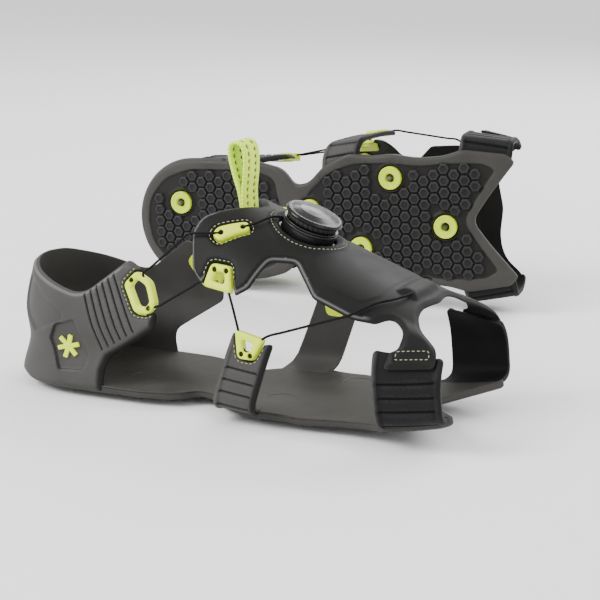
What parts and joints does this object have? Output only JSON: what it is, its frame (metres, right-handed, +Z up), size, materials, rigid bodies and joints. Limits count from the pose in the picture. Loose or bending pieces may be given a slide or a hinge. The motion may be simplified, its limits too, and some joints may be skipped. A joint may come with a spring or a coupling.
{
  "type": "shoe ice cleats",
  "caption": "Moulded over-shoe ice cleats with a heel cup, side straps and steel-studded tread, drawn over the shoe by a lace dial on an instep panel.",
  "frame": {"origin": "on the floor, at the bottom centre of the pair's bounding box", "axes": "+X towards the toes, +Y from the standing right cleat to the left cleat that lies behind it, +Z up"},
  "size_m": [0.32, 0.4018, 0.1363],
  "materials": {
    "outsole_rubber": "moulded, matt",
    "panel_rubber": "moulded, semi-matt",
    "dial_nylon": "satin",
    "knob_gloss": "gloss",
    "grip_rubber": "ribbed",
    "lace_fibre": "braided",
    "webbing": "woven",
    "guide_lime": "satin",
    "collar_lime": "moulded",
    "steel": "turned"
  },
  "bodies": {
    "right_cleat": {"right_outsole": "outsole_rubber", "right_instep_panel": "panel_rubber", "right_dial_base": "dial_nylon", "right_reel_housing": "dial_nylon", "right_dial_screw": "steel", "right_lace": "lace_fibre", "right_pull_loop": "webbing", "right_panel_guide_outer": "guide_lime", "right_panel_guide_inner": "guide_lime", "right_heel_guide_outer": "guide_lime", "right_heel_guide_inner": "guide_lime", "right_mid_guide_outer": "guide_lime", "right_mid_guide_inner": "guide_lime", "right_eyelet_outer": "guide_lime", "right_eyelet_inner": "guide_lime", "right_stud_collar_a": "collar_lime", "right_stud_a": "steel", "right_stud_collar_b": "collar_lime", "right_stud_b": "steel", "right_stud_collar_c": "collar_lime", "right_stud_c": "steel", "right_stud_collar_d": "collar_lime", "right_stud_d": "steel", "right_stud_collar_e": "collar_lime", "right_stud_e": "steel", "right_stud_collar_f": "collar_lime", "right_stud_f": "steel"},
    "right_spool": {"right_spool": "dial_nylon"},
    "right_knob": {"right_knob": "knob_gloss", "right_knob_grip": "grip_rubber"},
    "left_cleat": {"left_outsole": "outsole_rubber", "left_instep_panel": "panel_rubber", "left_dial_base": "dial_nylon", "left_reel_housing": "dial_nylon", "left_dial_screw": "steel", "left_lace": "lace_fibre", "left_pull_loop": "webbing", "left_panel_guide_outer": "guide_lime", "left_panel_guide_inner": "guide_lime", "left_heel_guide_outer": "guide_lime", "left_heel_guide_inner": "guide_lime", "left_mid_guide_outer": "guide_lime", "left_mid_guide_inner": "guide_lime", "left_eyelet_outer": "guide_lime", "left_eyelet_inner": "guide_lime", "left_stud_collar_a": "collar_lime", "left_stud_a": "steel", "left_stud_collar_b": "collar_lime", "left_stud_b": "steel", "left_stud_collar_c": "collar_lime", "left_stud_c": "steel", "left_stud_collar_d": "collar_lime", "left_stud_d": "steel", "left_stud_collar_e": "collar_lime", "left_stud_e": "steel", "left_stud_collar_f": "collar_lime", "left_stud_f": "steel"},
    "left_spool": {"left_spool": "dial_nylon"},
    "left_knob": {"left_knob": "knob_gloss", "left_knob_grip": "grip_rubber"}
  },
  "joints": [
    {"name": "right_dial_turn", "type": "hinge", "parent": "right_cleat", "child": "right_spool", "pos_m": [0.06532, -0.14672, 0.08819], "axis": [0.383, 0, 0.9237], "continuous": true},
    {"name": "right_knob_lift", "type": "slide", "parent": "right_spool", "child": "right_knob", "axis": [0.383, 0, 0.9237], "range_m": [0, 0.003]},
    {"name": "left_cleat_lift", "type": "slide", "parent": "right_cleat", "child": "left_cleat", "axis": [0, 0, 1], "range_m": [0, 0.15]},
    {"name": "left_dial_turn", "type": "hinge", "parent": "left_cleat", "child": "left_spool", "pos_m": [-0.00023, 0.15448, 0.05428], "axis": [0.3398, 0.9401, 0.0267], "continuous": true},
    {"name": "left_knob_lift", "type": "slide", "parent": "left_spool", "child": "left_knob", "axis": [0.3398, 0.9401, 0.0267], "range_m": [0, 0.003]}
  ]
}
